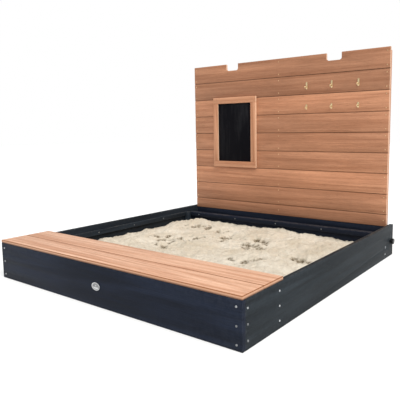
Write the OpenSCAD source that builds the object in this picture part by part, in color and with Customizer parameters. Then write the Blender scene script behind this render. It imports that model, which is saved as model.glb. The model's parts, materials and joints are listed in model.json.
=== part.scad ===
// Sandbox with a bench box at the front and a folding cover.
// Origin at the middle of the base, on the ground: +X right, +Y to the back, +Z up.
// Lengths along Y are worked out from the front face and moved back to the middle at the end.

/* [Box] */
// Width of the box over its side boards
box_w = 1200; // [1100:10:1300]
// Depth of the box from front to back
box_d = 1240; // [1200:10:1300]
// Height of the boards
box_h = 144; // [140:1:150]
// Thickness of the boards
board_t = 16; // [14:1:18]
// Side of the square posts in the front corners
post_side = 40; // [34:1:44]
// Height of the sand at its edges
sand_h = 66; // [30:1:85]

/* [Bench] */
// Depth of the bench lid
bench_d = 213; // [200:1:220]
// Thickness of the bench planks
bench_t = 12; // [10:1:14]
// Gap between the bench planks
bench_gap = 0.6; // [0.4:0.1:4]

/* [Cover] */
// Height of the top edge of the cover when it stands
cover_top = 960; // [940:1:970]
// Distance from the back of the box to the front face of the standing cover
cover_setback = 40; // [38:1:44]
// Thickness of the cover planks, and of the battens behind them
plank_t = 12; // [10:1:12]
// Height of a full plank
plank_h = 96; // [95:0.5:96]
// Gap between the front edge of the closed cover and the bench lid
cover_gap = 15; // [14:1:20]
// Width of a hand notch
notch_w = 79; // [70:1:90]
// Depth of a hand notch
notch_d = 36; // [30:1:40]

/* [Chalkboard] */
// Width of the chalkboard frame
chalk_w = 292; // [260:1:300]
// Height of the chalkboard frame
chalk_h = 392; // [360:1:400]
// Width of the frame strips
chalk_strip = 34; // [28:1:42]
// How far the frame stands off the planks
chalk_t = 12; // [10:1:20]

/* [Hidden] */
$fn = 48;

// Finishes
stain = "#32363d";
brown = "#a9714f";
salmon = "#dca17c";
sand_colour = "#d9ccb4";
steel = "#b9bcbe";
gold = "#c9a24a";

// Inside of the box
inner_x = box_w / 2 - board_t;
knob_gap = 0.3;

// Cover, standing: the planks' front face, and the pivot that lets it fold forward onto the ledges.
// A quarter turn about the pivot brings the front face down to cover_rest and the top edge to the bench.
cover_y = box_d - cover_setback;
cover_rest = box_h - 2 * plank_t;
pivot_sum = bench_d + cover_gap + cover_top;
pivot_diff = cover_y - cover_rest;
pivot_y = (pivot_sum + pivot_diff) / 2;
pivot_z = (pivot_sum - pivot_diff) / 2;
cover_x = inner_x - 4.5;
cover_back = cover_y + 2 * plank_t;

// Planks: full ones from the top edge down, and a narrow one at the foot
plank_count = 8;
foot_plank_h = 56;
foot_z = cover_top - plank_count * plank_h - foot_plank_h;
plank_groove = 1.6;
tongue_t = 4;
tongue_reach = 4;
tongue_fit = 0.1;

// Pivot arm: a flat steel plate at each end of the cover
arm_t = 4;
arm_r = 18;
bolt_r = 4;
bolt_fit = 0.05;
arm_top = foot_z - 2;

// Ledges that the closed cover lies on
ledge_w = 16;
ledge_h = 22;
ledge_top = cover_rest - 1.3;
back_y = pivot_y - board_t / 2;
back_top = cover_rest - 1.5;
back_x = inner_x - 14;
foot_h = pivot_z - arm_r - 2;
stop_gap = 0.3;
stop_w = 20;
stop_clear = 2;
rear_post = 30;
rear_post_y = pivot_y - arm_r - 1 - rear_post;

// Bench box, with the battens and screws under its lid
partition_y = 183;
partition_back = partition_y + board_t;
board_drop = 2;
lid_batten_t = 14;
lid_batten_w = 40;
lid_batten_xs = [-500, -215, 215, 500];
lid_batten_front = 24;
lid_batten_clear = 14;
lid_screw_ys = [50, 150];
front_ledge_y = bench_d + cover_gap + ledge_w;
hinge_x = [-430, 0, 430];
hinge_len = 60;
leaf_t = 1.5;
knuckle_r = 3.5;
pin_r = 1.6;

// The hinge pin lies behind the lid's rear edge, just above its underside, so that nothing dips as it opens
hinge_gap = 0.3;
hinge_y = bench_d + knuckle_r + hinge_gap;
hinge_z = box_h + leaf_t;

// Lock knobs
knob_y = cover_y + 4;
knob_z = 70;
knob_r = 13;
knob_t = 16;

// Chalkboard and hooks
chalk_x = -288.5;
chalk_z = 581;
hook_xs = [160, 296, 432];
hook_z_upper = 812;
hook_z_lower = 706;
notch_x = 305;

head_r = 3.5;
head_t = 1.2;
small_head_r = 2.8;
small_head_t = 0.8;
bolt_head_r = 6;
bolt_head_t = 3;

module from_front() {
    translate([0, -box_d / 2, 0]) children();
}

// A block given by its lowest and highest corners
module block(low, high) {
    translate(low) cube(high - low);
}

// The same on both sides, mirrored
module side(s) {
    mirror([s < 0 ? 1 : 0, 0, 0]) children();
}

// A rod along X from x = a to x = b
module rod_x(a, b, r) {
    translate([a, 0, 0]) rotate([0, 90, 0]) cylinder(h = b - a, r = r);
}

// A low screw head with a sloped rim, whose flat face lies at the origin and which points along +Z
module screw_head(r, t) {
    rotate_extrude() polygon([[0, 0], [r, 0], [r, t / 3], [0.65 * r, t], [0, t]]);
}

// Box ---------------------------------------------------------------------------------------

module front_board() {
    color(stain) from_front() block([-box_w / 2, 0, 0], [box_w / 2, board_t, box_h]);
}

// A side board is bored for the pivot bolt and for the stud of the lock knob
module side_board(s) {
    color(stain) from_front() side(s) difference() {
        block([inner_x, board_t, 0], [box_w / 2, box_d, box_h]);
        translate([0, pivot_y, pivot_z]) rod_x(inner_x - 1, box_w / 2 + 1, bolt_r + bolt_fit);
        translate([0, knob_y, knob_z]) rod_x(inner_x - 1, box_w / 2 + 1, bolt_r + bolt_fit);
    }
}

// The back board reaches the side boards only at its foot, so that the arms can turn past its ends
module back_board() {
    color(stain) from_front() union() {
        block([-back_x, back_y, 0], [back_x, back_y + board_t, back_top]);
        block([-inner_x, back_y, 0], [inner_x, back_y + board_t, foot_h]);
    }
}

rear_rail_gap = 4;
rear_rail_h = 60;

module rear_rail() {
    color(stain) from_front()
        block([-inner_x, cover_back + rear_rail_gap, 0], [inner_x, box_d, rear_rail_h]);
}

module partition_board() {
    color(stain) from_front()
        block([-inner_x, partition_y, 0], [inner_x, partition_back, box_h - board_drop]);
}

// The batten behind the partition that carries the bench hinges
module hinge_rail() {
    color(stain) from_front()
        block([-inner_x, partition_back, ledge_top], [inner_x, bench_d, box_h - board_drop]);
}

module front_post(s) {
    color(stain) from_front() side(s)
        block([inner_x - post_side, board_t, 0], [inner_x, board_t + post_side, box_h - lid_batten_t]);
}

module rear_post(s) {
    color(stain) from_front() side(s)
        block([inner_x - rear_post, rear_post_y, 0], [inner_x, rear_post_y + rear_post, back_top]);
}

module side_ledge(s) {
    color(stain) from_front() side(s)
        block([inner_x - ledge_w, partition_back, ledge_top - ledge_h], [inner_x, rear_post_y, ledge_top]);
}

// The front ledge reaches under the edge of the closed cover, and leaves room for fingers at the notches
module front_ledge() {
    end = inner_x - ledge_w;
    grip = notch_w / 2 + 20;
    spans = [[-end, -notch_x - grip], [grip - notch_x, notch_x - grip], [notch_x + grip, end]];
    color(stain) from_front() for (span = spans)
        block([span[0], partition_back, ledge_top - ledge_h], [span[1], front_ledge_y, ledge_top]);
}

module back_ledge() {
    x = inner_x - rear_post;
    color(stain) from_front() block([-x, back_y - ledge_w, back_top - ledge_h], [x, back_y, back_top]);
}

// A block under each pivot arm, which the standing cover leans back on
module stop_block(s) {
    color(stain) from_front() side(s)
        block([inner_x - stop_w, back_y + board_t + stop_clear, 0],
              [inner_x, cover_back, pivot_z - arm_r - stop_gap]);
}

// The floor of the sand space, drawn in by gap from the boards and posts, from height z0 to z1
module sand_space(gap, z0, z1) {
    back_inset = inner_x - rear_post - gap;
    from_front() union() {
        block([gap - inner_x, partition_back + gap, z0], [inner_x - gap, rear_post_y - gap, z1]);
        block([-back_inset, partition_back + gap, z0], [back_inset, back_y - gap, z1]);
    }
}

sheet_t = 1.2;

module ground_sheet() {
    color("#4b5358") sand_space(1, 0, sheet_t);
}

module sand_bed() {
    color(sand_colour) sand_space(0.5, sheet_t, sand_h);
}

badge_x = -2.5;
badge_z = 71;
badge_w = 40;
badge_h = 27;
badge_t = 2.4;
badge_rim = 4;

// A flat oval of that width and height
module oval(w, h) {
    steps = 48;
    polygon([for (i = [1 : steps]) [cos(i * 360 / steps) * w / 2, sin(i * 360 / steps) * h / 2]]);
}

// An oval plate with a raised rim
module oval_badge() {
    color(steel) from_front() translate([badge_x, 0, badge_z]) rotate([90, 0, 0]) difference() {
        linear_extrude(badge_t) oval(badge_w, badge_h);
        translate([0, 0, badge_t - 1]) linear_extrude(2)
            oval(badge_w - 2 * badge_rim, badge_h - 2 * badge_rim);
    }
}

// Screw heads through the outside of the boards, in columns of three
module frame_screws() {
    side_z = [25, 71, 117];
    front_z = [17, 70, 124];
    front_x = 580;
    corner_y = 25;
    low_z = 22;
    color(steel) from_front() {
        for (s = [-1, 1]) {
            side(s) for (y = [corner_y, partition_y + board_t / 2], z = side_z)
                translate([box_w / 2, y, z]) rotate([0, 90, 0]) screw_head(head_r, head_t);
            side(s) translate([box_w / 2, pivot_y, low_z]) rotate([0, 90, 0]) screw_head(head_r, head_t);
            for (z = front_z)
                translate([s * front_x, 0, z]) rotate([90, 0, 0]) screw_head(head_r, head_t);
        }
    }
}

// Bolt heads through the ledges: three on each side, four at the back and four at the front
module ledge_bolts() {
    z = ledge_top - ledge_h / 2;
    back_z = back_top - ledge_h / 2;
    side_ys = [459, 683, 898];
    back_xs = [-491, -230, 30, 291];
    front_xs = [-466, -100, 100, 466];
    color(steel) from_front() {
        for (s = [-1, 1], y = side_ys)
            side(s) translate([inner_x - ledge_w, y, z]) rotate([0, -90, 0]) screw_head(head_r, head_t);
        for (x = back_xs)
            translate([x, back_y - ledge_w, back_z]) rotate([90, 0, 0]) screw_head(head_r, head_t);
        for (x = front_xs)
            translate([x, front_ledge_y, z]) rotate([-90, 0, 0]) screw_head(head_r, head_t);
    }
}

nut_t = 6.5;
nut_r = 7;
nut_x = cover_x - 7;
bolt_end_x = cover_x - 8;

// The cover turns on one bolt at each side: its head outside, a nut inside
module pivot_bolts() {
    color(steel) from_front() for (s = [-1, 1]) side(s) translate([0, pivot_y, pivot_z]) {
        rod_x(bolt_end_x, box_w / 2, bolt_r);
        translate([box_w / 2, 0, 0]) rotate([0, 90, 0]) screw_head(bolt_head_r, bolt_head_t);
    }
}

module pivot_nuts() {
    color(steel) from_front() for (s = [-1, 1]) side(s) translate([nut_x, pivot_y, pivot_z])
        rotate([0, 90, 0]) difference() {
            cylinder(h = nut_t, r = nut_r, $fn = 6);
            translate([0, 0, -1]) cylinder(h = nut_t + 2, r = bolt_r + bolt_fit);
        }
}

// Bench lid ---------------------------------------------------------------------------------

bench_chamfer = 2;

// One bench plank with its long top edges taken off at an angle
module bench_plank(y0, y1) {
    shoulder = bench_t - bench_chamfer;
    color(salmon) from_front() translate([-box_w / 2, 0, box_h]) rotate([90, 0, 90]) linear_extrude(box_w)
        polygon([[y0, 0], [y1, 0], [y1, shoulder], [y1 - bench_chamfer, bench_t],
                 [y0 + bench_chamfer, bench_t], [y0, shoulder]]);
}

module bench_plank_front() {
    bench_plank(0, (bench_d - bench_gap) / 2);
}

module bench_plank_rear() {
    bench_plank((bench_d + bench_gap) / 2, bench_d);
}

module bench_battens() {
    w = lid_batten_w / 2;
    color(salmon) from_front() for (x = lid_batten_xs)
        block([x - w, lid_batten_front, box_h - lid_batten_t],
              [x + w, partition_y - lid_batten_clear, box_h]);
}

module bench_screws() {
    color(steel) from_front() for (x = lid_batten_xs, y = lid_screw_ys)
        translate([x, y, box_h - lid_batten_t]) rotate([180, 0, 0]) screw_head(small_head_r, small_head_t);
}

// Three butt hinges. The fixed leaf is flat on the back of the hinge rail and carries the two outer
// knuckles. The lid's leaf is flat under the lid and carries the middle one.
module knuckle(x0, x1) {
    difference() {
        rod_x(x0, x1, knuckle_r);
        rod_x(x0 - 1, x1 + 1, pin_r + bolt_fit);
    }
}

leaf_w = 20;
leaf_back = -knuckle_r - hinge_gap;
leaf_clear = knuckle_r;
knuckle_len = hinge_len / 3;
knuckle_play = 0.3;

module hinge_leaves_fixed() {
    low = -leaf_clear - leaf_w;
    color(steel) from_front() for (x = hinge_x) translate([x - hinge_len / 2, hinge_y, hinge_z]) {
        block([0, leaf_back, low], [hinge_len, leaf_back + leaf_t, -leaf_clear]);
        for (x0 = [0, 2 * knuckle_len + knuckle_play]) {
            x1 = x0 + knuckle_len - knuckle_play;
            knuckle(x0, x1);
            block([x0, leaf_back, -leaf_clear - 1], [x1, leaf_back + leaf_t, -leaf_t - 0.2]);
        }
    }
}

module hinge_pins() {
    color(steel) from_front() for (x = hinge_x)
        translate([x - hinge_len / 2, hinge_y, hinge_z]) rod_x(0, hinge_len, pin_r);
}

module hinge_leaves_lid() {
    x0 = knuckle_len + knuckle_play;
    x1 = 2 * knuckle_len - knuckle_play;
    reach = leaf_back - 0.4;
    color(steel) from_front() for (x = hinge_x) translate([x - hinge_len / 2, hinge_y, hinge_z]) {
        block([0, reach - leaf_w, -2 * leaf_t], [hinge_len, reach, -leaf_t]);
        knuckle(x0, x1);
        block([x0, reach - 1, -2 * leaf_t], [x1, leaf_back + leaf_t, -leaf_t]);
    }
}

// Cover -------------------------------------------------------------------------------------

// The cut for a hand notch: straight sides, round bottom corners, at the plank's top edge
module notch_cut() {
    r = 12;
    w = notch_w / 2;
    translate([0, cover_y + plank_t + 1, cover_top]) rotate([90, 0, 0]) linear_extrude(plank_t + 2) {
        translate([-w, r - notch_d]) square([notch_w, notch_d]);
        translate([r - w, -notch_d]) square([notch_w - 2 * r, r + 1]);
        for (x = [r - w, w - r]) translate([x, r - notch_d]) circle(r = r);
    }
}

// Cross-section of a plank from z = low to z = top: a tongue on its top edge, a groove in its lower edge
module plank_section(low, top, has_tongue, has_groove) {
    mid = cover_y + plank_t / 2;
    difference() {
        union() {
            translate([cover_y, low]) square([plank_t, top - low]);
            if (has_tongue)
                translate([mid - tongue_t / 2, top - 1]) square([tongue_t, 1 + plank_groove + tongue_reach]);
        }
        if (has_groove)
            translate([mid - tongue_t / 2 - tongue_fit, low - 1])
                square([tongue_t + 2 * tongue_fit, 1 + tongue_reach + tongue_fit]);
    }
}

// Plank number n, counted from the top. Each is a groove's width lower than its pitch.
module cover_plank(n) {
    top = cover_top - (n - 1) * plank_h - (n == 1 ? 0 : plank_groove / 2);
    low = n == plank_count + 1 ? foot_z : cover_top - n * plank_h + plank_groove / 2;
    color(brown) from_front() difference() {
        translate([-cover_x, 0, 0]) rotate([90, 0, 90]) linear_extrude(2 * cover_x)
            plank_section(low, top, n > 1, n <= plank_count);
        if (n == 1) for (s = [-1, 1]) translate([s * notch_x, 0, 0]) notch_cut();
    }
}

module cover_rail() {
    color(stain) from_front()
        block([-cover_x, cover_y, pivot_z + 3], [cover_x, cover_y + plank_t, foot_z - 0.5]);
}

batten_w = 40;
batten_foot = 60;
batten_drop = 14;
mid_batten_x = -4.5;

// An upright batten behind the planks, centred on x and w wide
module cover_batten(x, w) {
    color(brown) from_front()
        block([x - w / 2, cover_y + plank_t, batten_foot], [x + w / 2, cover_back, cover_top - batten_drop]);
}

// Steel plate at the end of the cover, from the pivot back and up along the end batten
module pivot_arm(s) {
    color("#2b2d30") from_front() side(s) translate([cover_x, 0, 0]) rotate([90, 0, 90]) linear_extrude(arm_t)
        difference() {
            union() {
                translate([pivot_y, pivot_z]) circle(r = arm_r);
                translate([pivot_y, pivot_z - arm_r]) square([cover_back - pivot_y, 2 * arm_r]);
                translate([cover_y, pivot_z]) square([2 * plank_t, arm_top - pivot_z]);
            }
            translate([pivot_y, pivot_z]) circle(r = bolt_r + bolt_fit);
        }
}

// Two screw heads in each plank at each batten, and one in the narrow plank at the foot
module cover_screws() {
    inset = 16;
    end_x = 566;
    color(steel) from_front() for (x = [-end_x, mid_batten_x, end_x]) {
        for (n = [1 : plank_count], z = [(1 - n) * plank_h - inset, -n * plank_h + inset])
            translate([x, cover_y, cover_top + z]) rotate([90, 0, 0]) screw_head(small_head_r, small_head_t);
        translate([x, cover_y, foot_z + foot_plank_h / 2]) rotate([90, 0, 0])
            screw_head(small_head_r, small_head_t);
    }
}

// Chalkboard: a thin black panel held by a frame of four strips
chalk_low = [chalk_x - chalk_w / 2, chalk_z - chalk_h / 2];
chalk_high = [chalk_x + chalk_w / 2, chalk_z + chalk_h / 2];

module chalk_block(x0, x1, z0, z1, t0, t1) {
    from_front() block([x0, cover_y - t1, z0], [x1, cover_y - t0, z1]);
}

panel_t = 6;

module chalkboard() {
    low = chalk_low + [chalk_strip, chalk_strip];
    high = chalk_high - [chalk_strip, chalk_strip];
    color("#26282b") chalk_block(low[0], high[0], low[1], high[1], 0, panel_t);
}

module chalk_rail(z) {
    color(salmon) chalk_block(chalk_low[0], chalk_high[0], z, z + chalk_strip, 0, chalk_t);
}

module chalk_stile(x) {
    s = chalk_strip;
    color(salmon) chalk_block(x, x + s, chalk_low[1] + s, chalk_high[1] - s, 0, chalk_t);
}

// A coat hook: an upright plate with round ends, and a rod that runs down out of it, forward and up to a
// ball tip. It stands on the planks' face at its middle. plate_h is its height, bend the radius of the turn.
module coat_hook(plate_h, bend, wire) {
    plate_r = 4.5;
    plate_t = 2;
    rod_y = -plate_t - 0.8;
    turn_z = 4 - plate_h / 2;
    tip = 7;
    rotate([90, 0, 0]) linear_extrude(plate_t) union() {
        square([2 * plate_r, plate_h - 2 * plate_r], center = true);
        for (e = [-1, 1]) translate([0, e * (plate_h / 2 - plate_r)]) circle(r = plate_r);
    }
    translate([0, rod_y, turn_z]) cylinder(h = plate_h / 2, r = wire);
    translate([0, rod_y - bend, turn_z]) rotate([90, 0, 90]) rotate([0, 0, 180])
        rotate_extrude(angle = 180) translate([bend, 0]) circle(r = wire);
    translate([0, rod_y - 2 * bend, turn_z]) cylinder(h = tip, r = wire);
    translate([0, rod_y - 2 * bend, turn_z + tip]) sphere(r = wire * 1.4);
}

module hook_row(z, plate_h, bend, wire) {
    color(gold) from_front() for (x = hook_xs) translate([x, cover_y, z]) coat_hook(plate_h, bend, wire);
}

module hooks_upper() {
    hook_row(hook_z_upper, 36, 8, 2.2);
}

module hooks_lower() {
    hook_row(hook_z_lower, 26, 6.5, 2);
}

// Lock knobs --------------------------------------------------------------------------------

knob_stand = 0.5;
stud_reach = 10;
collar_r = 7;
collar_h = 4;

// A hand knob with five lobes, screwed on a stud that clamps the pivot arm
module lock_knob(s) {
    lobes = 5;
    hollow_r = 4.5;
    color("#17181a") from_front() side(s) translate([box_w / 2 + knob_stand, knob_y, knob_z])
        rotate([0, 90, 0]) difference() {
            union() {
                cylinder(h = collar_h, r = collar_r);
                translate([0, 0, collar_h]) cylinder(h = knob_t - collar_h, r = knob_r);
            }
            for (k = [0 : lobes - 1]) rotate(k * 360 / lobes) translate([knob_r + 2.5, 0, collar_h - 1])
                cylinder(h = knob_t, r = hollow_r);
            translate([0, 0, -1]) cylinder(h = stud_reach + 1, r = bolt_r + bolt_fit);
        }
}

module lock_stud(s) {
    color(steel) from_front() side(s) translate([0, knob_y, knob_z])
        rod_x(cover_x + arm_t + knob_gap, box_w / 2 + knob_stand + stud_reach, bolt_r);
}

front_board();
side_board(-1);  // side_board_left
side_board(1);  // side_board_right
back_board();
rear_rail();
partition_board();
hinge_rail();
front_post(-1);  // front_post_left
front_post(1);  // front_post_right
rear_post(-1);  // rear_post_left
rear_post(1);  // rear_post_right
side_ledge(-1);  // side_ledge_left
side_ledge(1);  // side_ledge_right
front_ledge();
back_ledge();
stop_block(-1);  // stop_block_left
stop_block(1);  // stop_block_right
ground_sheet();
sand_bed();
oval_badge();
frame_screws();
ledge_bolts();
pivot_bolts();
pivot_nuts();
bench_plank_front();
bench_plank_rear();
bench_battens();
bench_screws();
hinge_leaves_fixed();
hinge_pins();
hinge_leaves_lid();
cover_plank(1);  // plank_1
cover_plank(2);  // plank_2
cover_plank(3);  // plank_3
cover_plank(4);  // plank_4
cover_plank(5);  // plank_5
cover_plank(6);  // plank_6
cover_plank(7);  // plank_7
cover_plank(8);  // plank_8
cover_plank(9);  // plank_9
cover_rail();
cover_batten(batten_w / 2 - cover_x, batten_w);  // cover_batten_left
cover_batten(mid_batten_x, batten_w);  // cover_batten_mid
cover_batten(cover_x - batten_w / 2, batten_w);  // cover_batten_right
pivot_arm(-1);  // pivot_arm_left
pivot_arm(1);  // pivot_arm_right
cover_screws();
chalkboard();
chalk_rail(chalk_high[1] - chalk_strip);  // chalk_rail_top
chalk_rail(chalk_low[1]);  // chalk_rail_bottom
chalk_stile(chalk_low[0]);  // chalk_stile_left
chalk_stile(chalk_high[0] - chalk_strip);  // chalk_stile_right
hooks_upper();
hooks_lower();
lock_knob(-1);  // lock_knob_left
lock_stud(-1);  // lock_stud_left
lock_knob(1);  // lock_knob_right
lock_stud(1);  // lock_stud_right
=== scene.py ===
import json
import math
import random
import bpy
from mathutils import Matrix, Vector
from mathutils.kdtree import KDTree


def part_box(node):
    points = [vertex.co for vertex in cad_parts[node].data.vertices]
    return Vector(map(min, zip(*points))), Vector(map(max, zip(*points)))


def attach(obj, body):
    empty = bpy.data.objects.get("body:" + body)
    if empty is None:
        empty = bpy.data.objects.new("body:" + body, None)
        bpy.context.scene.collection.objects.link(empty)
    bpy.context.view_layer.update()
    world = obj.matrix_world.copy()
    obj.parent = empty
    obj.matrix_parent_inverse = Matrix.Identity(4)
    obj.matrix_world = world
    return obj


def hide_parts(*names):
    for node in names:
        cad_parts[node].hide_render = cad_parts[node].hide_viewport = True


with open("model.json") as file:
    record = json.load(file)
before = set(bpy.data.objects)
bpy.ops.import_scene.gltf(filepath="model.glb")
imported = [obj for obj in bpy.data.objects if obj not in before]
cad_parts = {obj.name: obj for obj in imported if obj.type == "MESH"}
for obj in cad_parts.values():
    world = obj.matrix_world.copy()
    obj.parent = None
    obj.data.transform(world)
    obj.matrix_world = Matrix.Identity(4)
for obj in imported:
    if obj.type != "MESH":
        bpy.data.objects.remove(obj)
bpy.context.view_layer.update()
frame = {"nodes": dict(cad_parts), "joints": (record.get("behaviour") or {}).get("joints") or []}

# Camera ------------------------------------------------------------------------------------------------
# It stands at the right-hand front corner, a little above the top of the cover's middle, and looks left
# along the box and slightly down.

CAMERA_PLACE = (1.292, -1.599, 0.582)
CAMERA_TURN = 35.59
CAMERA_DOWN = 6.58
CAMERA_ROLL = -0.52
CAMERA_LENS = 42.71
CAMERA_SHIFT = (-0.0965, -0.0325)

bpy.ops.object.select_all(action="DESELECT")
bpy.ops.object.camera_add(location=CAMERA_PLACE)
camera = bpy.context.object
camera.name = "camera"
camera.rotation_mode = "QUATERNION"
camera.rotation_quaternion = (
    Matrix.Rotation(math.radians(CAMERA_TURN), 3, "Z")
    @ Matrix.Rotation(math.radians(90 - CAMERA_DOWN), 3, "X")
    @ Matrix.Rotation(math.radians(CAMERA_ROLL), 3, "Z")
).to_quaternion()
camera.data.lens = CAMERA_LENS
camera.data.shift_x, camera.data.shift_y = CAMERA_SHIFT
camera.data.clip_end = 50
bpy.context.scene.camera = camera

# Studio ------------------------------------------------------------------------------------------------
# A pale floor and a pale room. The light is that of a bright overcast day: an even sky, and a broad soft
# light from above on the right.

FLOOR_SIDE = 40.0
FLOOR_DROP = 0.0005
FLOOR_PAINT = (0.93, 0.93, 0.93)
SKY_COLOUR = (0.95, 0.98, 1.0)
SKY_LIGHT = 0.62
DAY_COLOUR = (1.0, 0.98, 0.95)
DAY_STRENGTH = 3.1
DAY_HEIGHT = 52
DAY_TURN = 62
DAY_SPREAD = 50


def socket_value(tree, socket, value):
    if isinstance(value, bpy.types.NodeSocket):
        tree.links.new(value, socket)
    else:
        socket.default_value = value


def put(tree, kind, sockets=None, **settings):
    """Adds a node of that kind, with its settings, and gives its sockets a value or a link."""
    made = tree.nodes.new("ShaderNode" + kind)
    for name, value in settings.items():
        setattr(made, name, value)
    for name, value in (sockets or {}).items():
        socket_value(tree, made.inputs[name], value)
    return made


bpy.ops.mesh.primitive_plane_add(size=FLOOR_SIDE, location=(0, 0, -FLOOR_DROP))
floor = bpy.context.object
floor.name = "floor"
floor_paint = bpy.data.materials.new("floor paint")
floor_paint.use_nodes = True
shader = floor_paint.node_tree.nodes["Principled BSDF"].inputs
shader["Base Color"].default_value = (*FLOOR_PAINT, 1)
shader["Roughness"].default_value = 0.9
shader["Specular IOR Level"].default_value = 0.1
floor.data.materials.append(floor_paint)

room = bpy.data.worlds.new("room")
room.use_nodes = True
bpy.context.scene.world = room
room.node_tree.nodes.clear()
seen = put(room.node_tree, "Background", {"Color": (1, 1, 1, 1), "Strength": 1.0})
sky = put(room.node_tree, "Background", {"Color": (*SKY_COLOUR, 1), "Strength": SKY_LIGHT})
ray = put(room.node_tree, "LightPath")
sky_mix = put(room.node_tree, "MixShader", {0: ray.outputs["Is Camera Ray"]})
room.node_tree.links.new(sky.outputs[0], sky_mix.inputs[1])
room.node_tree.links.new(seen.outputs[0], sky_mix.inputs[2])
put(room.node_tree, "OutputWorld", {"Surface": sky_mix.outputs[0]})

bpy.ops.object.light_add(type="SUN")
day = bpy.context.object
day.name = "day light"
day.data.energy = DAY_STRENGTH
day.data.color = DAY_COLOUR
day.data.angle = math.radians(DAY_SPREAD)
day.rotation_euler = (0, math.radians(90 - DAY_HEIGHT), math.radians(DAY_TURN - 90))
bpy.context.scene.view_settings.view_transform = "Standard"

# Stained boards ----------------------------------------------------------------------------------------
# The box is made of planed softwood boards with eased edges, butted and screwed at the corners, and given
# a dark blue-black stain that lets the grain show a little.

ARRIS = 0.0016
SHARP = 30
# One stain in three tones by which way a board faces: the darkest is painted shade on the boards that face
# the front, the lightest is painted light on the right side board, which faces the light.
STAIN_FRONT_SHADED = (0.0051, 0.0073, 0.0138)
STAIN_SIDE_LIT = (0.0104, 0.0132, 0.0158)
STAIN_WORN = (0.085, 0.092, 0.110)
STAIN_ROUGHNESS = 0.62
DUST_COLOUR = (0.62, 0.55, 0.43)


def new_group(name, inputs, outputs):
    """An empty shader node group with those named sockets."""
    group = bpy.data.node_groups.new(name, "ShaderNodeTree")
    for direction, sockets in (("INPUT", inputs), ("OUTPUT", outputs)):
        for label, kind in sockets:
            group.interface.new_socket(label, in_out=direction, socket_type="NodeSocket" + kind)
    return group, group.nodes.new("NodeGroupInput").outputs, group.nodes.new("NodeGroupOutput").inputs


def remap(tree, value, low, high, to_low=0.0, to_high=1.0):
    """Spreads value from low..high over to_low..to_high."""
    return put(tree, "MapRange", {"Value": value, "From Min": low, "From Max": high,
                                  "To Min": to_low, "To Max": to_high}).outputs["Result"]


def calc(tree, operation, a, b=0.0):
    return put(tree, "Math", {0: a, 1: b}, operation=operation).outputs[0]


def blend_colour(tree, share, a, b, kind="MIX"):
    made = put(tree, "Mix", {0: share, 6: a, 7: b}, data_type="RGBA", blend_type=kind)
    return made.outputs[2]


def noise(tree, vector, scale, detail=2.0, roughness=0.5, bend=0.0):
    """A cloudy pattern, from 0 to 1."""
    return put(tree, "TexNoise", {"Vector": vector, "Scale": scale, "Detail": detail, "Roughness": roughness,
                                  "Distortion": bend}).outputs["Fac"]


def one_axis(tree, vector, axis):
    return put(tree, "SeparateXYZ", {0: vector}).outputs[axis]


def dim(tree, colour, level):
    """The colour, made lighter or darker by the level."""
    grey = put(tree, "CombineColor", {0: level, 1: level, 2: level}).outputs[0]
    return blend_colour(tree, 1.0, colour, grey, "MULTIPLY")


def emboss(tree, shader, height, strength, distance):
    """Gives the surface that height pattern as a bump."""
    bump = put(tree, "Bump", {"Height": height, "Strength": strength, "Distance": distance})
    tree.links.new(bump.outputs[0], shader["Normal"])


def timber_grain():
    """Grain that runs along X: ring figure, streaks, fibres and pores, each from 0 to 1."""
    tree, given, gives = new_group(
        "timber grain",
        [("Vector", "Vector"), ("Seed", "Float"), ("Rings", "Float")],
        [("Figure", "Float"), ("Streaks", "Float"), ("Fibres", "Float"), ("Pores", "Float")])
    offset = put(tree, "VectorMath", {0: (3.17, 7.31, 5.93), 3: given["Seed"]}, operation="SCALE")
    place = put(tree, "VectorMath", {0: given["Vector"], 1: offset.outputs[0]}, operation="ADD").outputs[0]

    def stretched(stretch, detail, roughness, bend=0.0):
        scaled = put(tree, "VectorMath", {0: place, 1: stretch}, operation="MULTIPLY").outputs[0]
        return noise(tree, scaled, 1.0, detail, roughness, bend)

    swirl = stretched((0.55, 11, 11), 1.5, 0.4, 0.1)
    phase = calc(tree, "MULTIPLY", swirl, given["Rings"])
    wave = calc(tree, "SINE", phase)
    late = remap(tree, wave, -0.75, 1.0)
    tree.links.new(calc(tree, "POWER", late, 1.6), gives["Figure"])
    bands = stretched((1.3, 62, 62), 2.0, 0.5)
    threads = stretched((4.0, 230, 230), 3.0, 0.6)
    mixed = calc(tree, "ADD", calc(tree, "MULTIPLY", bands, 0.55), calc(tree, "MULTIPLY", threads, 0.45))
    tree.links.new(remap(tree, mixed, 0.34, 0.66), gives["Streaks"])
    tree.links.new(remap(tree, stretched((22, 760, 760), 3.0, 0.6), 0.25, 0.75), gives["Fibres"])
    tree.links.new(remap(tree, stretched((55, 1900, 1900), 1.0, 0.5), 0.64, 0.72), gives["Pores"])
    return tree


def edge_wear():
    """How worn a spot is, from 0 to 1: high on the sharp edges, broken up by noise."""
    tree, given, gives = new_group(
        "edge wear", [("Vector", "Vector"), ("Radius", "Float")], [("Wear", "Float")])
    round_normal = put(tree, "Bevel", {"Radius": given["Radius"]}, samples=4).outputs[0]
    true_normal = put(tree, "NewGeometry").outputs["True Normal"]
    dot = put(tree, "VectorMath", {0: round_normal, 1: true_normal}, operation="DOT_PRODUCT").outputs["Value"]
    sharp = remap(tree, dot, 0.995, 0.86)
    chips = noise(tree, given["Vector"], 60.0, 5.0, 0.65)
    tree.links.new(calc(tree, "MULTIPLY", sharp, remap(tree, chips, 0.42, 0.62)), gives["Wear"])
    return tree


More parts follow.
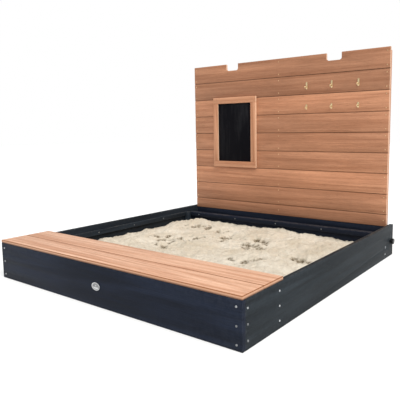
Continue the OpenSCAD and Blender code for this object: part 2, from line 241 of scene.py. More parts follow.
def upward_dust():
    """Where dust and sand settle: on faces that look up, in soft patches and single grains."""
    tree, given, gives = new_group(
        "upward dust", [("Vector", "Vector"), ("Cover", "Float")], [("Dust", "Float")])
    up = remap(tree, one_axis(tree, put(tree, "NewGeometry").outputs["Normal"], "Z"), 0.6, 0.95)
    patch = noise(tree, given["Vector"], 9.0, 5.0, 0.6)
    grain = noise(tree, given["Vector"], 420.0)
    mask = calc(tree, "MULTIPLY", remap(tree, patch, 0.4, 0.7), remap(tree, grain, 0.5, 0.62))
    tree.links.new(calc(tree, "MULTIPLY", calc(tree, "MULTIPLY", mask, up), given["Cover"]), gives["Dust"])
    return tree


GRAIN, WEAR, DUST = timber_grain(), edge_wear(), upward_dust()
ALONG = {"X": (0, 0, 0), "Y": (0, 0, math.pi / 2), "Z": (0, math.pi / 2, 0)}
END_SHARE = 0.6


def new_finish(name):
    """A material with its node tree, its Principled shader and the object coordinates."""
    finish = bpy.data.materials.new(name)
    finish.use_nodes = True
    tree = finish.node_tree
    return finish, tree, tree.nodes["Principled BSDF"].inputs, put(tree, "TexCoord").outputs["Object"]


def grouped(tree, group, **sockets):
    made = put(tree, "Group", node_tree=group)
    for name, value in sockets.items():
        socket_value(tree, made.inputs[name], value)
    return made.outputs


def timber_finish(name, pale, dark, along, seed, rings=52.0, roughness=0.6, gloss=0.3, fibre=0.16,
                  streak=0.5, figure=0.5, wear=0.0, wear_colour=(0.5, 0.3, 0.2), dust=0.0, shaded=None,
                  sides=None, ends=None, ends_axis=None, arris=None, mottle=0.0):
    """Planed timber: pale and dark are its early and late wood, and ends is the colour of its sawn ends, or
    of the faces that look along ends_axis, where that is given; on side faces that colour is a painted
    highlight.
    shaded is a height and a depth: painted shade darkens the colour over that depth above that height. sides
    is the painted shade of a board's upright edges, and arris the painted shade of the rounding above them,
    both chosen by the face's slope.
    mottle is how much broad soft patches of the board differ in tone."""
    finish, tree, shader, place = new_finish(name)
    turned = put(tree, "Mapping", {"Vector": place, "Rotation": ALONG[along]}).outputs[0]
    grain = grouped(tree, GRAIN, Vector=turned, Seed=seed, Rings=rings)
    share = calc(tree, "ADD", calc(tree, "MULTIPLY", grain["Figure"], figure),
                 calc(tree, "MULTIPLY", grain["Streaks"], streak))
    colour = blend_colour(tree, share, (*pale, 1), (*dark, 1))
    colour = dim(tree, colour, remap(tree, grain["Fibres"], 0, 1, 1 + fibre, 1 - fibre))
    colour = blend_colour(tree, calc(tree, "MULTIPLY", grain["Pores"], 0.45), colour,
                          tuple(0.35 * c for c in dark) + (1,))
    if mottle:
        broad = put(tree, "VectorMath", {0: turned, 1: (2.6, 9, 9)}, operation="MULTIPLY").outputs[0]
        patch = noise(tree, broad, 1.0, 3.0)
        colour = dim(tree, colour, remap(tree, patch, 0.34, 0.66, 1 - mottle, 1 + mottle))
    normal = put(tree, "SeparateXYZ", {0: put(tree, "TexCoord").outputs["Normal"]}).outputs
    # Painted shade: faces that stand upright get a darker colour than the top.
    if sides:
        painted_side_shade = remap(tree, calc(tree, "ABSOLUTE", normal["Z"]), 0.5, 0.2, 0, 0.85)
        colour = blend_colour(tree, painted_side_shade, colour, (*sides, 1))
    # Painted shade on the arris: faces that slope between flat and upright get the arris colour.
    if arris:
        slope = one_axis(tree, put(tree, "NewGeometry").outputs["True Normal"], "Z")
        painted_arris_shade = calc(tree, "MULTIPLY", remap(tree, slope, 0.995, 0.95), remap(tree, slope, 0.1, 0.3))
        colour = blend_colour(tree, painted_arris_shade, colour, (*arris, 1))
    # Sawn ends get their own colour. Where ends_axis picks side faces, as on the chalkboard frame, that
    # colour is a painted highlight.
    if ends:
        sawn_end_and_highlight = remap(tree, calc(tree, "ABSOLUTE", normal[ends_axis or along]), 0.6, 0.9, 0, END_SHARE)
        colour = blend_colour(tree, sawn_end_and_highlight, colour, (*ends, 1))
    if wear:
        worn = grouped(tree, WEAR, Vector=place, Radius=0.004)["Wear"]
        colour = blend_colour(tree, calc(tree, "MULTIPLY", worn, wear), colour, (*wear_colour, 1))
    # Painted shade: a dark band just above the given height, for the shade under a plank's lower edge and
    # under the lid's edge.
    if shaded:
        low, deep = shaded
        painted_shade_band = remap(tree, one_axis(tree, place, "Z"), low + deep, low + 0.5 * deep, 0, 0.8)
        colour = blend_colour(tree, painted_shade_band, colour, tuple(0.25 * c for c in dark) + (1,))
    if dust:
        dusty = grouped(tree, DUST, Vector=place, Cover=dust)["Dust"]
        colour = blend_colour(tree, dusty, colour, (*DUST_COLOUR, 1))
    tree.links.new(colour, shader["Base Color"])
    tree.links.new(remap(tree, grain["Streaks"], 0, 1, roughness - 0.06, roughness + 0.06),
                   shader["Roughness"])
    shader["Specular IOR Level"].default_value = gloss
    relief = calc(tree, "ADD", calc(tree, "MULTIPLY", grain["Fibres"], 0.5),
                  calc(tree, "MULTIPLY", grain["Figure"], 0.5))
    emboss(tree, shader, calc(tree, "SUBTRACT", relief, grain["Pores"]), 0.5, 0.0004)
    return finish


def start():
    """Leaves object mode with nothing selected, ready for a new piece."""
    if bpy.context.object and bpy.context.object.mode != "OBJECT":
        bpy.ops.object.mode_set(mode="OBJECT")
    bpy.ops.object.select_all(action="DESELECT")


def take(piece):
    """Leaves object mode with only this piece selected, ready to be worked on."""
    start()
    piece.select_set(True)
    bpy.context.view_layer.objects.active = piece


def settle(piece):
    """Puts a piece's place, turn and scale into its mesh."""
    take(piece)
    bpy.ops.object.transform_apply(location=True, rotation=True, scale=True)


def pick(piece, kind, test):
    """Goes into edit mode with those of the piece's vertices, edges or faces selected that pass the test."""
    bpy.ops.object.mode_set(mode="EDIT")
    bpy.ops.mesh.select_mode(type=kind)
    bpy.ops.mesh.select_all(action="DESELECT")
    bpy.ops.object.mode_set(mode="OBJECT")
    elements = {"VERT": piece.data.vertices, "EDGE": piece.data.edges, "FACE": piece.data.polygons}[kind]
    for element in elements:
        element.select = test(element)
    bpy.ops.object.mode_set(mode="EDIT")


def hand_over(piece, name, body, finish):
    """Names a finished piece, gives it its finish, and lets it stand for its CAD node on its body."""
    piece.name = piece.data.name = name + "_finished"
    piece.data.materials.clear()
    piece.data.materials.append(finish)
    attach(piece, body)
    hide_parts(name)
    return piece


def block(low, high):
    """A new square-edged block between two corners, in object mode."""
    start()
    low, high = Vector(low), Vector(high)
    bpy.ops.mesh.primitive_cube_add(size=1, location=(low + high) / 2, scale=high - low)
    piece = bpy.context.object
    settle(piece)
    return piece


def ease_edges(piece, radius, segments=2):
    """Rounds every edge that is sharper than SHARP degrees."""
    take(piece)
    rounding = piece.modifiers.new("eased edges", "BEVEL")
    rounding.width, rounding.segments = radius, segments
    rounding.limit_method, rounding.angle_limit = "ANGLE", math.radians(SHARP)
    bpy.ops.object.modifier_apply(modifier=rounding.name)
    bpy.ops.object.shade_smooth_by_angle(angle=math.radians(40))
    return piece


def join(parts):
    """One object made of several, none of them touching the others' meshes."""
    start()
    for part in parts:
        part.select_set(True)
    bpy.context.view_layer.objects.active = parts[0]
    if len(parts) > 1:
        bpy.ops.object.join()
    return bpy.context.view_layer.objects.active


def combine(piece, other, operation):
    """Cuts the other shape out of the piece (DIFFERENCE) or adds it (UNION), and removes the other."""
    take(piece)
    step = piece.modifiers.new("combine", "BOOLEAN")
    step.operation, step.solver, step.object = operation, "EXACT", other
    bpy.ops.object.modifier_apply(modifier=step.name)
    bpy.data.objects.remove(other)


def cylinder(centre, axis, radius, depth, sides=40):
    """A plain cylinder about that axis, through that centre."""
    start()
    turn = Vector((0, 0, 1)).rotation_difference(Vector(axis)).to_euler()
    bpy.ops.mesh.primitive_cylinder_add(vertices=sides, radius=radius, depth=depth, location=centre,
                                        rotation=turn)
    settle(bpy.context.object)
    return bpy.context.object


def stain_finish(node, along, seed, tone, gloss=0.12):
    late = tuple(2.2 * c for c in tone)
    return timber_finish("stain on " + node, tone, late, along, seed, rings=38, roughness=STAIN_ROUGHNESS,
                         gloss=gloss, fibre=0.3, streak=0.75, figure=0.5, wear=0.5, wear_colour=STAIN_WORN,
                         dust=0.2, mottle=0.16)


# The inner boards' tone lies between the two: a painted half-shade.
STAIN_INNER_HALF_SHADED = (0.0085, 0.0118, 0.0160)
STAINED = {"front_board": ("X", STAIN_FRONT_SHADED), "side_board_left": ("Y", STAIN_INNER_HALF_SHADED),
           "side_board_right": ("Y", STAIN_SIDE_LIT), "back_board": ("X", STAIN_FRONT_SHADED),
           "rear_rail": ("X", STAIN_INNER_HALF_SHADED), "partition_board": ("X", STAIN_FRONT_SHADED),
           "hinge_rail": ("X", STAIN_FRONT_SHADED), "front_post_left": ("Z", STAIN_INNER_HALF_SHADED),
           "front_post_right": ("Z", STAIN_INNER_HALF_SHADED), "rear_post_left": ("Z", STAIN_INNER_HALF_SHADED),
           "rear_post_right": ("Z", STAIN_INNER_HALF_SHADED), "side_ledge_left": ("Y", STAIN_INNER_HALF_SHADED),
           "side_ledge_right": ("Y", STAIN_INNER_HALF_SHADED), "back_ledge": ("X", STAIN_FRONT_SHADED),
           "stop_block_left": ("Y", STAIN_INNER_HALF_SHADED), "stop_block_right": ("Y", STAIN_INNER_HALF_SHADED)}
PIVOT = Vector(frame["joints"][0]["pos_m"])
KNOB = Vector(frame["joints"][3]["pos_m"])
BOLT_HOLE = 0.0042
FOOT_REACH = 0.014
FOOT_HEIGHT = 0.034

for number, (node, (along, tone)) in enumerate(STAINED.items()):
    low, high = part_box(node)
    board = block(low, high)
    if node == "back_board":
        for side in (-1, 1):
            inner = (high.x - FOOT_REACH) * side
            outer = (high.x + FOOT_REACH) * side
            combine(board, block((min(inner, outer), low.y - 0.01, FOOT_HEIGHT),
                                 (max(inner, outer), high.y + 0.01, high.z + 0.01)), "DIFFERENCE")
    if node.startswith("side_board"):
        for hole in (PIVOT, KNOB):
            centre = ((low.x + high.x) / 2, hole.y, hole.z)
            combine(board, cylinder(centre, (1, 0, 0), BOLT_HOLE, 0.06), "DIFFERENCE")
    ease_edges(board, ARRIS)
    hand_over(board, node, "box", stain_finish(node, along, 1.0 + 0.37 * number, tone))

# Front ledge -------------------------------------------------------------------------------------------
# Three lengths of the same stained batten, screwed along the sand side of the partition. The gaps between
# them leave room for fingers under the hand notches of the closed cover.

SAME_POINT = 0.00001


def whole_copy(node):
    """A copy of a CAD node in edit mode, with its loose triangles made one surface."""
    start()
    copy = frame["nodes"][node].copy()
    copy.data = copy.data.copy()
    bpy.context.scene.collection.objects.link(copy)
    take(copy)
    bpy.ops.object.mode_set(mode="EDIT")
    bpy.ops.mesh.select_all(action="SELECT")
    bpy.ops.mesh.remove_doubles(threshold=SAME_POINT)
    return copy


def solids(node):
    """The lowest and highest corners of each separate solid of a CAD node."""
    whole_copy(node)
    bpy.ops.mesh.separate(type="LOOSE")
    bpy.ops.object.mode_set(mode="OBJECT")
    found = []
    for part in list(bpy.context.selected_objects):
        points = [vertex.co for vertex in part.data.vertices]
        found.append((Vector(min(p[i] for p in points) for i in range(3)),
                      Vector(max(p[i] for p in points) for i in range(3))))
        bpy.data.objects.remove(part)
    return sorted(found, key=lambda corners: tuple(round(c, 5) for c in corners[0]))


ledge = join([ease_edges(block(low, high), ARRIS) for low, high in solids("front_ledge")])
hand_over(ledge, "front_ledge", "box", stain_finish("front_ledge", "X", 9.4, STAIN_FRONT_SHADED))

# Ground cloth ------------------------------------------------------------------------------------------
# A thin woven cloth laid on the ground inside the boards, under the sand. It lets rain through and keeps
# weeds out. It is cut round the rear posts, and lies in shallow wrinkles.

CLOTH_CELLS = (78, 62)
CLOTH_THICK = 0.0004
CLOTH_WRINKLES = (0.06, 0.0006)
CLOTH_HEIGHT = 0.0005
CLOTH_GAP = 0.001
THREAD_PITCH = 1400.0
CLOTH_DARK = (0.018, 0.02, 0.022)
CLOTH_PALE = (0.075, 0.08, 0.085)
SOILED = (0.3, 0.24, 0.16)
POST_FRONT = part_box("rear_post_right")[0].y
POST_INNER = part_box("rear_post_right")[0].x


def trim_corners(piece, gap):
    """Takes the two back corners off a sheet, where the rear posts stand."""
    take(piece)
    bpy.ops.object.mode_set(mode="EDIT")
    for spot, normal in (((0, POST_FRONT - gap, 0), (0, 1, 0)), ((POST_INNER - gap, 0, 0), (1, 0, 0)),
                         ((gap - POST_INNER, 0, 0), (1, 0, 0))):
        bpy.ops.mesh.select_all(action="SELECT")
        bpy.ops.mesh.bisect(plane_co=spot, plane_no=normal)
    pick(piece, "FACE",
         lambda face: face.center.y > POST_FRONT - gap and abs(face.center.x) > POST_INNER - gap)
    bpy.ops.mesh.delete(type="FACE")
    bpy.ops.object.mode_set(mode="OBJECT")


def displace(piece, name, size, strength, depth=2, level=0.5):
    """Raises and lowers the piece along Z by a cloud pattern of that size."""
    take(piece)
    pattern = bpy.data.textures.new(name, "CLOUDS")
    pattern.noise_scale, pattern.noise_depth = size, depth
    lift = piece.modifiers.new(name, "DISPLACE")
    lift.texture, lift.texture_coords, lift.direction = pattern, "LOCAL", "Z"
    lift.strength, lift.mid_level = strength, level
    bpy.ops.object.modifier_apply(modifier=lift.name)


def grid(low, high, cells, height):
    """A flat sheet of square faces between two corners, at that height."""
    start()
    middle = (low + high) / 2
    bpy.ops.mesh.primitive_grid_add(x_subdivisions=cells[0], y_subdivisions=cells[1], size=1,
                                    location=(middle.x, middle.y, height))
    bpy.context.object.scale = (high.x - low.x, high.y - low.y, 1)
    settle(bpy.context.object)
    return bpy.context.object


low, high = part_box("ground_sheet")
cloth = grid(low, high, CLOTH_CELLS, CLOTH_HEIGHT)
displace(cloth, "wrinkles", *CLOTH_WRINKLES)
trim_corners(cloth, CLOTH_GAP)
take(cloth)
thick = cloth.modifiers.new("thickness", "SOLIDIFY")
thick.thickness, thick.offset = CLOTH_THICK, 0
bpy.ops.object.modifier_apply(modifier=thick.name)
bpy.ops.object.shade_smooth_by_angle(angle=math.radians(40))

cloth_finish, tree, shader, place = new_finish("woven ground cloth")
threads = []
for direction in ("X", "Y"):
    wave = put(tree, "TexWave", {"Vector": place, "Scale": THREAD_PITCH / 6.28, "Distortion": 0.6,
                                 "Detail Scale": 0.4}, bands_direction=direction)
    threads.append(wave.outputs["Fac"])
weave = calc(tree, "MULTIPLY", *threads)
soil = noise(tree, place, 6.0, 6.0)
colour = blend_colour(tree, weave, (*CLOTH_DARK, 1), (*CLOTH_PALE, 1))
colour = blend_colour(tree, remap(tree, soil, 0.5, 0.75, 0, 0.6), colour, (*SOILED, 1))
tree.links.new(colour, shader["Base Color"])
emboss(tree, shader, weave, 0.6, 0.0003)
shader["Roughness"].default_value = 0.85
hand_over(cloth, "ground_sheet", "box", cloth_finish)

# Sand --------------------------------------------------------------------------------------------------
# Pale fine play sand, filled to about half the height of the boards and played in: it lies in low mounds,
# poked full of dents by hands and feet, with crumbs and clumps. The dents are painted darker: painted shade,
# together with damper sand there.

SAND_CELLS = (170, 134)
SAND_EDGE_GAP = 0.0005
SAND_RISES = ((-0.42, 0.47, 0.30, 0.012), (0.10, 0.44, 0.28, 0.006), (0.30, -0.20, 0.32, 0.008),
              (-0.30, -0.30, 0.30, -0.006), (0.48, 0.30, 0.22, 0.006), (-0.10, 0.05, 0.30, 0.006))
SAND_DENTS = ((-0.37, 0.07), (-0.24, 0.12), (-0.25, -0.05), (-0.40, 0.36), (-0.22, 0.35), (-0.09, 0.26),
              (0.07, 0.26), (0.08, 0.16), (0.13, 0.13), (0.38, 0.08), (0.25, -0.10))
FOOTPRINTS = ((-0.41, -0.12), (0.37, 0.27), (-0.03, 0.04), (-0.39, -0.04), (0.30, 0.40), (-0.12, -0.22),
              (0.05, -0.30), (0.20, 0.02), (0.44, -0.10), (-0.15, 0.42), (0.16, 0.36), (-0.30, -0.28))
HOLLOW = (0.075, -0.011)
POKES = ((4, 0.036, 0.028, -0.019), (5, 0.042, 0.018, -0.014), (4, 0.048, 0.013, -0.010))
CRUMBS = (420, 0.011, 0.005)
SAND_WAVES = (("mounds", 0.20, 0.030, 1), ("lumps", 0.055, 0.026, 2), ("clumps", 0.016, 0.009, 2))
DENT_DEEP = 0.010
SAND_DRY = (0.60, 0.525, 0.415)
SAND_PALE = (0.76, 0.70, 0.60)
SAND_GRAIN = (0.38, 0.29, 0.19)
SAND_PATCH = (0.38, 0.31, 0.22)
SAND_DAMP_AND_SHADE = (0.12, 0.085, 0.045)

low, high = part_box("sand_bed")
sand = grid(low, high, SAND_CELLS, high.z)


def push(piece, spots, reach, lift):
    """Pushes the sheet up or down at each spot, fading out over the reach."""
    tree = KDTree(len(piece.data.vertices))
    for vertex in piece.data.vertices:
        tree.insert((vertex.co.x, vertex.co.y, 0), vertex.index)
    tree.balance()
    nearest = {tree.find((x, y, 0))[1] for x, y in spots}
    pick(piece, "VERT", lambda vertex: vertex.index in nearest)
    bpy.ops.transform.translate(value=(0, 0, lift), use_proportional_edit=True,
                                proportional_edit_falloff="SMOOTH", proportional_size=reach)
    bpy.ops.object.mode_set(mode="OBJECT")


take(sand)
for x, y, reach, lift in SAND_RISES:
    push(sand, [(x, y)], reach, lift)
push(sand, SAND_DENTS + FOOTPRINTS, *HOLLOW)
undisturbed = [vertex.co.z for vertex in sand.data.vertices]
hands = random.Random(12)
for count, spread, reach, lift in POKES:
    spots = [(x + hands.gauss(0, spread), y + hands.gauss(0, 0.8 * spread))
             for x, y in SAND_DENTS for poke in range(count)]
    push(sand, spots, reach, lift)
dented = sand.data.attributes.new("dented", "FLOAT", "POINT")
for before, vertex, mark in zip(undisturbed, sand.data.vertices, dented.data):
    mark.value = (before - vertex.co.z) / DENT_DEEP
count, reach, lift = CRUMBS
spots = [(hands.uniform(low.x, high.x), hands.uniform(low.y, high.y)) for crumb in range(count)]
push(sand, spots, reach, lift)
smooth = sand.modifiers.new("finer", "SUBSURF")
smooth.levels = smooth.render_levels = 1
bpy.ops.object.modifier_apply(modifier=smooth.name)
for name, size, strength, depth in SAND_WAVES:
    displace(sand, name, size, strength, depth)
trim_corners(sand, SAND_EDGE_GAP)
bpy.ops.object.mode_set(mode="EDIT")
bpy.ops.mesh.select_mode(type="EDGE")
bpy.ops.mesh.select_all(action="DESELECT")
bpy.ops.mesh.select_non_manifold(extend=False, use_boundary=True, use_wire=False, use_multi_face=False,
                                 use_non_contiguous=False, use_verts=False)
bpy.ops.mesh.extrude_edges_move(TRANSFORM_OT_translate={"value": (0, 0, -high.z)})
bpy.ops.transform.resize(value=(1, 1, 0), center_override=(0, 0, low.z))
bpy.ops.mesh.edge_face_add()
bpy.ops.mesh.select_all(action="SELECT")
bpy.ops.mesh.normals_make_consistent(inside=False)
bpy.ops.object.mode_set(mode="OBJECT")
bpy.ops.object.shade_smooth_by_angle(angle=math.radians(60))

sand_finish, tree, shader, place = new_finish("play sand")
drifts = noise(tree, place, 7.0, 6.0, 0.6)
grains = noise(tree, place, 900.0)
crumbs = noise(tree, place, 130.0, 4.0, 0.7)
patches = noise(tree, place, 38.0, 5.0, 0.7)
colour = blend_colour(tree, remap(tree, drifts, 0.35, 0.68), (*SAND_DRY, 1), (*SAND_PALE, 1))
colour = blend_colour(tree, remap(tree, grains, 0.3, 0.7, 0.35, 0), colour, (*SAND_GRAIN, 1))
colour = blend_colour(tree, remap(tree, patches, 0.52, 0.74, 0, 0.4), colour, (*SAND_PATCH, 1))
# Painted shade in the dents, together with damp sand: the deeper a spot was pushed down, the darker it is.
depth = put(tree, "Attribute", attribute_name="dented").outputs["Fac"]
damp_and_shade = calc(tree, "MULTIPLY", remap(tree, depth, 0.3, 1.0, 0, 0.95), remap(tree, crumbs, 0.38, 0.56, 0.2, 1))
colour = blend_colour(tree, damp_and_shade, colour, (*SAND_DAMP_AND_SHADE, 1))
tree.links.new(colour, shader["Base Color"])
emboss(tree, shader, calc(tree, "ADD", calc(tree, "MULTIPLY", grains, 0.3), crumbs), 0.9, 0.0045)
tree.links.new(remap(tree, damp_and_shade, 0, 1, 0.95, 0.8), shader["Roughness"])
shader["Specular IOR Level"].default_value = 0.15
hand_over(sand, "sand_bed", "box", sand_finish)

# Screws and ledge bolts --------------------------------------------------------------------------------
# Zinc-plated pan-head screws hold the boards' corners and the bench partition. Flatter heads of the same
# kind hold the ledges. Each head is a low dome with a cross recess.

RECESS_LONG = 1.15
RECESS_WIDE = 0.26
RECESS_DEEP = 0.6
SINK = 0.0002


def pan_head(radius, thick):
    """A domed head on the origin, facing +Z, with a cross recess. It reaches a little below the surface."""
    start()
    bpy.ops.mesh.primitive_cylinder_add(vertices=28, radius=radius, depth=thick + SINK,
                                        location=(0, 0, (thick - SINK) / 2))
    head = bpy.context.object
    settle(head)
    pick(head, "FACE", lambda face: face.normal.z > 0.9)
    bpy.ops.mesh.bevel(offset=0.75 * thick, segments=4, affect="EDGES")
    bpy.ops.object.mode_set(mode="OBJECT")
    deep = RECESS_DEEP * thick
    for long_x, long_y in ((RECESS_LONG, RECESS_WIDE), (RECESS_WIDE, RECESS_LONG)):
        reach = Vector((long_x * radius / 2, long_y * radius / 2, deep))
        slot = block((-reach.x, -reach.y, thick - deep), (reach.x, reach.y, thick + deep))
        combine(head, slot, "DIFFERENCE")
    bpy.ops.object.shade_smooth_by_angle(angle=math.radians(35))
    return head


def heads_on(node, outward):
    """A pan head at each solid of the node. They face away from the middle of the box, or towards it."""
    made = []
    pattern = None
    for low, high in solids(node):
        size, centre = high - low, (low + high) / 2
        thin = min(range(3), key=lambda i: size[i])
        facing = Vector((0, 0, 0))
        facing[thin] = outward * math.copysign(1, centre[thin])
        thick, radius = size[thin], max(size) / 2
        if pattern is None:
            pattern = pan_head(radius, thick)
        head = pattern.copy()
        head.data = pattern.data.copy()
        bpy.context.scene.collection.objects.link(head)
        turn = Vector((0, 0, 1)).rotation_difference(facing).to_matrix().to_4x4()
        spin = Matrix.Rotation(0.7 * len(made), 4, "Z")
        head.data.transform(Matrix.Translation(centre - facing * thick / 2) @ turn @ spin)
        made.append(head)
    bpy.data.objects.remove(pattern)
    return join(made)


def metal_finish(name, colour, rough, dull, scratches=0.25, tarnish=0.0):
    """Plated or polished metal, with a cloudy surface and fine scratches, and tarnish from place to place."""
    finish, tree, shader, place = new_finish(name)
    cloud = noise(tree, place, 90.0, 4.0)
    stretched = put(tree, "Mapping", {"Vector": place, "Scale": (60, 900, 900)}).outputs[0]
    scratch = noise(tree, stretched, 1.0, 3.0)
    worn = grouped(tree, WEAR, Vector=place, Radius=0.0006)["Wear"]
    spread = noise(tree, place, 11.0, 1.0)
    stained = tuple(0.4 * c for c in dull)
    rubbed = tuple(min(1, 1.3 * c) for c in colour)
    tone = blend_colour(tree, remap(tree, cloud, 0.4, 0.75), (*colour, 1), (*dull, 1))
    tone = blend_colour(tree, remap(tree, spread, 0.42, 0.62, 0, tarnish), tone, (*stained, 1))
    tone = blend_colour(tree, calc(tree, "MULTIPLY", worn, 0.5), tone, (*rubbed, 1))
    tree.links.new(tone, shader["Base Color"])
    shader["Metallic"].default_value = 1.0
    low = remap(tree, cloud, 0.3, 0.7, rough, rough + 0.14)
    tree.links.new(calc(tree, "ADD", low, remap(tree, scratch, 0.5, 0.8, 0, scratches)), shader["Roughness"])
    emboss(tree, shader, scratch, 0.15, 0.0002)
    return finish


ZINC = metal_finish("bright zinc plate", (0.62, 0.64, 0.66), 0.32, (0.40, 0.41, 0.42), tarnish=0.8)
DULL_ZINC = metal_finish("dull zinc plate", (0.26, 0.275, 0.29), 0.42, (0.17, 0.18, 0.19))
hand_over(heads_on("frame_screws", 1), "frame_screws", "box", ZINC)
hand_over(heads_on("ledge_bolts", -1), "ledge_bolts", "box", DULL_ZINC)

# Pivot bolts and nuts ----------------------------------------------------------------------------------
# The cover turns on one dome-head bolt at each side. The bolt passes the side board and the steel arm, and
# a hexagon nut holds it inside. The head has a hexagon socket.

SHANK_RADIUS = 0.004
DOME = 0.0025
SOCKET_ACROSS = 0.0046
SOCKET_DEEP = 0.0022
BOLT_CHAMFER = 0.0006
FLAT_ANGLE = 0.5


def eased_copy(node, radius, segments=2):
    """A new piece with the form of a CAD node, its faces made whole and its edges rounded."""
    copy = whole_copy(node)
    bpy.ops.mesh.dissolve_limited(angle_limit=math.radians(FLAT_ANGLE))
    bpy.ops.object.mode_set(mode="OBJECT")
    for key in list(copy.keys()):
        del copy[key]
    copy.parent = None
    return ease_edges(copy, radius, segments)


bolts = []
for low, high in solids("pivot_bolts"):
    side = math.copysign(1, low.x + high.x)
    board_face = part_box("side_board_right")[1].x * side
    end = low.x if side > 0 else high.x
    tip = high.x if side > 0 else low.x
    shank = cylinder(((board_face + end) / 2, PIVOT.y, PIVOT.z), (1, 0, 0), SHANK_RADIUS,
                     abs(board_face - end), 32)
    ease_edges(shank, BOLT_CHAMFER)
    head = cylinder(((board_face + tip) / 2, PIVOT.y, PIVOT.z), (1, 0, 0), (high.z - low.z) / 2,
                    abs(board_face - tip), 48)
    take(head)
    pick(head, "FACE", lambda face: face.normal.x * side > 0.9)
    bpy.ops.mesh.bevel(offset=DOME, segments=6, affect="EDGES")
    bpy.ops.object.mode_set(mode="OBJECT")
    socket = cylinder((tip, PIVOT.y, PIVOT.z), (1, 0, 0), SOCKET_ACROSS / 2, 2 * SOCKET_DEEP, 6)
    combine(head, socket, "DIFFERENCE")
    bpy.ops.object.shade_smooth_by_angle(angle=math.radians(35))
    bolts += [shank, head]
hand_over(join(bolts), "pivot_bolts", "box", DULL_ZINC)
hand_over(eased_copy("pivot_nuts", 0.0005), "pivot_nuts", "box", ZINC)

# Oval badge --------------------------------------------------------------------------------------------
# A pressed oval metal plate pinned to the front board, with a polished raised rim and a blasted middle. The
# relief in the middle is a plain sun over a bank of sand.

RIM_WIDE = 0.0036
RIM_RAISED = 0.0010
SUN_RADIUS = 0.0034
SUN_RISE = 0.0028
SUN_THICK = 0.0009
BANK_INSET = 0.0012
BANK_SINK = 0.0004
BANK_RAISED = 0.0006
BANK_DROP = 0.0022
BLASTED = (0.26, 0.265, 0.27)
BADGE_SIDES = 72

low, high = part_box("oval_badge")
centre = (low + high) / 2
floor_y = low.y + RIM_RAISED


def oval_plate(inset, back, front):
    """An oval plate set in by that much from the badge's outline, from y = back to y = front."""
    plate = cylinder((0, (back + front) / 2, 0), (0, 1, 0), 0.5, back - front, BADGE_SIDES)
    plate.scale = (high.x - low.x - 2 * inset, 1, high.z - low.z - 2 * inset)
    plate.location = (centre.x, 0, centre.z)
    settle(plate)
    return plate


badge = oval_plate(0, high.y, low.y)
pick(badge, "FACE", lambda face: face.normal.y < -0.9)
bpy.ops.mesh.inset(thickness=RIM_WIDE)
bpy.ops.transform.translate(value=(0, RIM_RAISED, 0))
bpy.ops.object.mode_set(mode="OBJECT")
ease_edges(badge, 0.0003, 3)
sun = cylinder((centre.x, floor_y, centre.z + SUN_RISE), (0, 1, 0), SUN_RADIUS, SUN_THICK, 40)
bank = oval_plate(RIM_WIDE + BANK_INSET, floor_y + BANK_SINK, floor_y - BANK_RAISED)
above = block((low.x, floor_y - 0.01, centre.z - BANK_DROP), (high.x, floor_y + 0.01, high.z))
combine(bank, above, "DIFFERENCE")
relief = [ease_edges(sun, 0.0002), ease_edges(bank, 0.0002)]
badge_metal = metal_finish("badge metal", (0.88, 0.89, 0.90), 0.25, (0.7, 0.71, 0.73))
tree = badge_metal.node_tree
shader = tree.nodes["Principled BSDF"].inputs
place = put(tree, "TexCoord").outputs["Object"]
blasted = remap(tree, one_axis(tree, place, "Y"), floor_y - 0.0009, floor_y - 0.0001)
polished = shader["Base Color"].links[0].from_socket
tree.links.new(blend_colour(tree, blasted, polished, (*BLASTED, 1)), shader["Base Color"])
hand_over(join([badge] + relief), "oval_badge", "box", badge_metal)

# Bench lid ---------------------------------------------------------------------------------------------
# Two wide softwood planks side by side, oiled a light salmon brown, with their edges well rounded. Four
# battens are screwed across their undersides.

PALE = (0.80, 0.505, 0.35)
PALE_LATE = (0.44, 0.195, 0.105)
# The lid's upright edges get a painted shade. The rounding above them gets a darker painted shade, which is
# also the colour of its worn edges. The foot of its edges gets a band of painted shadow.
LID_SIDES_SHADE = (0.50, 0.27, 0.165)
LID_WEAR_AND_ARRIS_SHADE = (0.22, 0.075, 0.02)
LID_SHADED = 0.0058
LID_ROUND = 0.0022


def oiled(name, along, seed, tone=1.0, early=PALE, late=PALE_LATE, worn=(0.45, 0.22, 0.1), **more):
    pale, dark = (tuple(tone * c for c in colour) for colour in (early, late))
    return timber_finish("oiled " + name, pale, dark, along, seed, roughness=0.6, gloss=0.25, wear=0.35,
                         wear_colour=worn, **more)


for number, (node, tone) in enumerate((("bench_plank_front", 1.0), ("bench_plank_rear", 0.965))):
    low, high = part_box(node)
    plank = ease_edges(block(low, high), LID_ROUND, 3)
    hand_over(plank, node, "bench_lid",
              oiled(node, "X", 21.3 + 3.1 * number, tone, rings=60, streak=0.7, figure=0.3, fibre=0.25,
                    worn=LID_WEAR_AND_ARRIS_SHADE, arris=LID_WEAR_AND_ARRIS_SHADE, sides=LID_SIDES_SHADE, shaded=(low.z, LID_SHADED)))
battens = join([ease_edges(block(low, high), ARRIS) for low, high in solids("bench_battens")])
hand_over(battens, "bench_battens", "bench_lid", oiled("bench battens", "Y", 30.2, 0.9))
hand_over(heads_on("bench_screws", -1), "bench_screws", "bench_lid", ZINC)

# Bench hinges ------------------------------------------------------------------------------------------
# Three zinc-plated butt hinges: two knuckles on the partition, one on the lid, and a pin through them.

hand_over(eased_copy("hinge_leaves_fixed", 0.0003), "hinge_leaves_fixed", "box", ZINC)
hand_over(eased_copy("hinge_pins", 0.0004), "hinge_pins", "box", ZINC)
hand_over(eased_copy("hinge_leaves_lid", 0.0003), "hinge_leaves_lid", "bench_lid", ZINC)

# Cover planks ------------------------------------------------------------------------------------------
# Nine softwood boards, oiled brown, one above the other with a tongue on each top edge in the groove of the
# board above. Their tones differ a little. The top board has two round-cornered hand notches.

